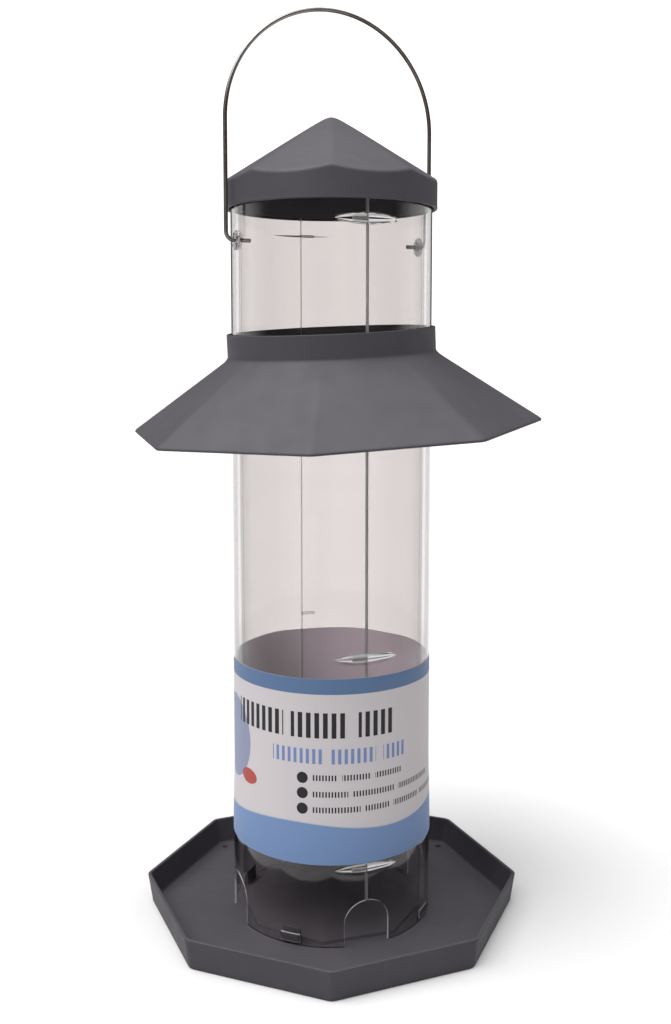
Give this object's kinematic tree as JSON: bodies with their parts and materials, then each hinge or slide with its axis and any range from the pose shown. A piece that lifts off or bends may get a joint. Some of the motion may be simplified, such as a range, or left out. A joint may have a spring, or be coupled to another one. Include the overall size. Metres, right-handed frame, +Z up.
{
  "type": "seed tube feeder",
  "caption": "Hanging seed feeder: clear arched-port tube on an octagonal tray, sliding octagonal rain shelter, lift-off pyramid roof and swinging wire bail.",
  "frame": {"origin": "centre of the tray's underside", "axes": "+Z up along the tube, -Y towards the label's printed side, +X to the right of someone facing that side"},
  "size_m": [0.2066, 0.2064, 0.4543],
  "materials": {
    "grey_plastic": "satin",
    "clear_sheet": "clear gloss",
    "label_paper": "printed paper",
    "wire": "drawn wire",
    "clear_grommet": "translucent"
  },
  "bodies": {
    "feeder": {"tray_pan": "grey_plastic", "seed_spreader": "grey_plastic", "tube_half_right": "clear_sheet", "tube_half_left": "clear_sheet", "label_sleeve": "label_paper", "bail_grommet_left": "clear_grommet", "bail_grommet_right": "clear_grommet"},
    "roof": {"roof_cap": "grey_plastic"},
    "shelter": {"rain_shelter": "grey_plastic"},
    "bail": {"bail_wire": "wire"}
  },
  "joints": [
    {"name": "bail_swing", "type": "hinge", "parent": "feeder", "child": "bail", "pos_m": [0, 0, 0.3405], "axis": [0.9063, 0.4226, 0], "range_deg": [-110, 110]},
    {"name": "roof_lift", "type": "slide", "parent": "feeder", "child": "roof", "axis": [0, 0, 1], "range_m": [0, 0.036]},
    {"name": "shelter_slide", "type": "slide", "parent": "feeder", "child": "shelter", "axis": [0, 0, 1], "range_m": [-0.2, 0.03]}
  ]
}
